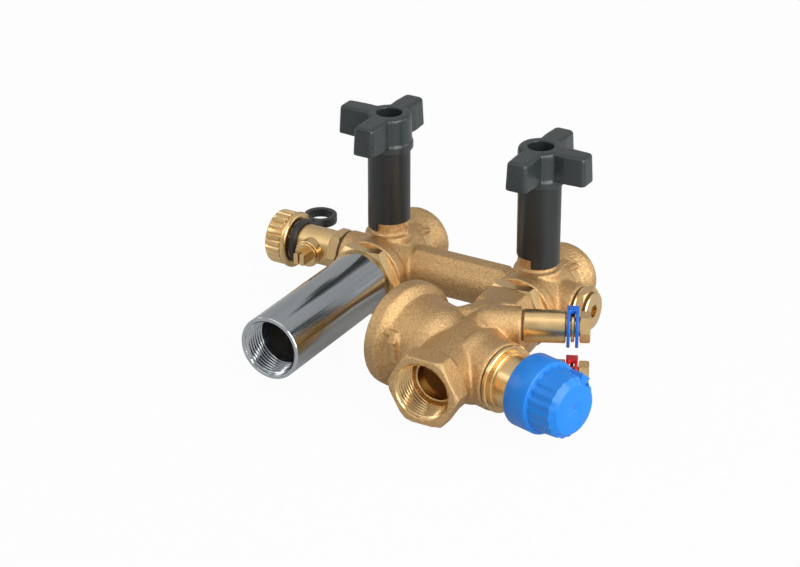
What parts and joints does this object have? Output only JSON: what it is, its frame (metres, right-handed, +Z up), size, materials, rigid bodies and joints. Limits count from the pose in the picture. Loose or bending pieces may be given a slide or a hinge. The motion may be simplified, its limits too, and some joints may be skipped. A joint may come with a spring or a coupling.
{
  "type": "pressure independent control valve (set)",
  "caption": "Brass pressure independent control valve on an H-shaped bypass manifold with T-handled ball valves, drain cock, test points and a steel spacer tube.",
  "frame": {"origin": "centre of the right rear port's face", "axes": "+X from the left ball valve to the right one, +Y out of the rear ports, +Z up along the handles' stems"},
  "size_m": [0.2112, 0.1397, 0.1021],
  "materials": {
    "cast_brass": "as cast, fine grain",
    "machined_brass": "turned and milled",
    "chromed_ball": "polished chrome",
    "steel_tube": "bright turned steel",
    "steel_small": "plain steel",
    "sleeve_plastic": "satin black",
    "grip_plastic": "satin charcoal",
    "blue_plastic": "satin blue",
    "blue_tag": "satin blue",
    "red_tag": "satin red",
    "seat_ptfe": "smooth white",
    "rubber": "satin black rubber"
  },
  "bodies": {
    "root": {"manifold_body": "cast_brass", "valve_body": "cast_brass", "front_insert_left": "machined_brass", "front_insert_right": "machined_brass", "drain_body": "machined_brass", "drain_lock_nut": "machined_brass", "side_plug": "machined_brass", "diaphragm_cover": "machined_brass", "regulator_seat": "machined_brass", "bonnet": "machined_brass", "control_cage": "machined_brass", "test_body_upper": "machined_brass", "test_body_lower": "machined_brass", "spacer_tube": "steel_tube", "regulator_spring": "steel_small", "return_spring": "steel_small", "seat_front_left": "seat_ptfe", "seat_front_right": "seat_ptfe", "seat_rear_left": "seat_ptfe", "seat_rear_right": "seat_ptfe", "insert_seal_left": "rubber", "insert_seal_right": "rubber", "drain_seal": "rubber", "drain_strap": "rubber", "side_seal": "rubber", "diaphragm": "rubber", "bonnet_seal": "rubber", "test_seal_upper": "rubber", "test_seal_lower": "rubber", "test_core_upper": "rubber", "test_core_lower": "rubber"},
    "handle_left": {"ball_left": "chromed_ball", "stem_left": "machined_brass", "stem_seals_left": "rubber", "handle_sleeve_left": "sleeve_plastic", "handle_grip_left": "grip_plastic", "handle_screw_left": "steel_small"},
    "handle_right": {"ball_right": "chromed_ball", "stem_right": "machined_brass", "stem_seals_right": "rubber", "handle_sleeve_right": "sleeve_plastic", "handle_grip_right": "grip_plastic", "handle_screw_right": "steel_small"},
    "drain_cock_plug": {"drain_plug": "machined_brass"},
    "drain_cap_washer": {"drain_cap_washer": "rubber"},
    "drain_cap": {"drain_cap": "machined_brass"},
    "vent_seal": {"vent_seal": "rubber"},
    "vent_screw": {"vent_screw": "machined_brass"},
    "tag_upper": {"test_tag_upper": "blue_tag"},
    "test_cap_upper": {"test_cap_upper": "machined_brass"},
    "tag_lower": {"test_tag_lower": "red_tag"},
    "test_cap_lower": {"test_cap_lower": "machined_brass"},
    "push_pin": {"push_pin": "steel_small"},
    "hand_wheel": {"hand_wheel": "blue_plastic"},
    "valve_spindle": {"valve_spindle": "steel_small"},
    "preset_ring": {"preset_ring": "machined_brass"},
    "regulator": {"regulator_poppet": "steel_small", "diaphragm_plate": "machined_brass"}
  },
  "joints": [
    {"name": "handle_left_turn", "type": "hinge", "parent": "root", "child": "handle_left", "pos_m": [-0.08, -0.0304, 0], "axis": [0, 0, 1], "range_deg": [-90, 90]},
    {"name": "handle_right_turn", "type": "hinge", "parent": "root", "child": "handle_right", "pos_m": [0, -0.0304, 0], "axis": [0, 0, 1], "range_deg": [-90, 90]},
    {"name": "drain_plug_turn", "type": "hinge", "parent": "root", "child": "drain_cock_plug", "pos_m": [-0.1194, -0.0304, -0.0013], "axis": [0, -1, 0], "range_deg": [0, 90]},
    {"name": "drain_cap_travel", "type": "slide", "parent": "root", "child": "drain_cap_washer", "axis": [-1, 0, 0], "range_m": [0, 0.00544]},
    {"name": "drain_cap_turn", "type": "hinge", "parent": "drain_cap_washer", "child": "drain_cap", "pos_m": [-0.14, -0.0304, -0.0013], "axis": [-1, 0, 0], "range_deg": [0, 1080]},
    {"name": "vent_screw_travel", "type": "slide", "parent": "root", "child": "vent_seal", "axis": [1, 0, 0], "range_m": [0, 0.002]},
    {"name": "vent_screw_turn", "type": "hinge", "parent": "vent_seal", "child": "vent_screw", "pos_m": [0.028, -0.0304, 0], "axis": [1, 0, 0], "range_deg": [0, 720]},
    {"name": "test_cap_upper_travel", "type": "slide", "parent": "root", "child": "tag_upper", "axis": [0.9003, 0.4352, 0], "range_m": [0, 0.003]},
    {"name": "test_cap_upper_turn", "type": "hinge", "parent": "tag_upper", "child": "test_cap_upper", "pos_m": [0.0187, -0.0814, 0.01245], "axis": [0.9003, 0.4352, 0], "range_deg": [0, 1080]},
    {"name": "test_cap_lower_travel", "type": "slide", "parent": "root", "child": "tag_lower", "axis": [0.9003, 0.4352, 0], "range_m": [0, 0.003]},
    {"name": "test_cap_lower_turn", "type": "hinge", "parent": "tag_lower", "child": "test_cap_lower", "pos_m": [0.0187, -0.0814, -0.01245], "axis": [0.9003, 0.4352, 0], "range_deg": [0, 1080]},
    {"name": "hand_wheel_travel", "type": "slide", "parent": "root", "child": "push_pin", "axis": [0.9659, -0.2588, 0], "range_m": [-0.004, 0]},
    {"name": "hand_wheel_turn", "type": "hinge", "parent": "push_pin", "child": "hand_wheel", "pos_m": [0, -0.1023, 0], "axis": [0.9659, -0.2588, 0], "range_deg": [-960, 0]},
    {"name": "valve_spindle_travel", "type": "slide", "parent": "root", "child": "valve_spindle", "axis": [0.9659, -0.2588, 0], "range_m": [-0.004, 0], "deforming": ["return_spring"]},
    {"name": "preset_ring_turn", "type": "hinge", "parent": "root", "child": "preset_ring", "pos_m": [0, -0.1023, 0], "axis": [0.9659, -0.2588, 0], "range_deg": [0, 270]},
    {"name": "regulator_travel", "type": "slide", "parent": "root", "child": "regulator", "axis": [0.9659, -0.2588, 0], "range_m": [0, 0.0025], "stiffness_N_per_m": 400, "springref_m": -0.001, "deforming": ["regulator_spring", "diaphragm"]}
  ],
  "couplings": [
    {"joint": "drain_cap_travel", "follows": "drain_cap_turn", "m_per_rad": 0.0002887},
    {"joint": "vent_screw_travel", "follows": "vent_screw_turn", "m_per_rad": 0.00015915},
    {"joint": "test_cap_upper_travel", "follows": "test_cap_upper_turn", "m_per_rad": 0.00015915},
    {"joint": "test_cap_lower_travel", "follows": "test_cap_lower_turn", "m_per_rad": 0.00015915},
    {"joint": "hand_wheel_travel", "follows": "hand_wheel_turn", "m_per_rad": 0.00023873},
    {"joint": "valve_spindle_travel", "follows": "hand_wheel_turn", "m_per_rad": 0.00023873}
  ]
}
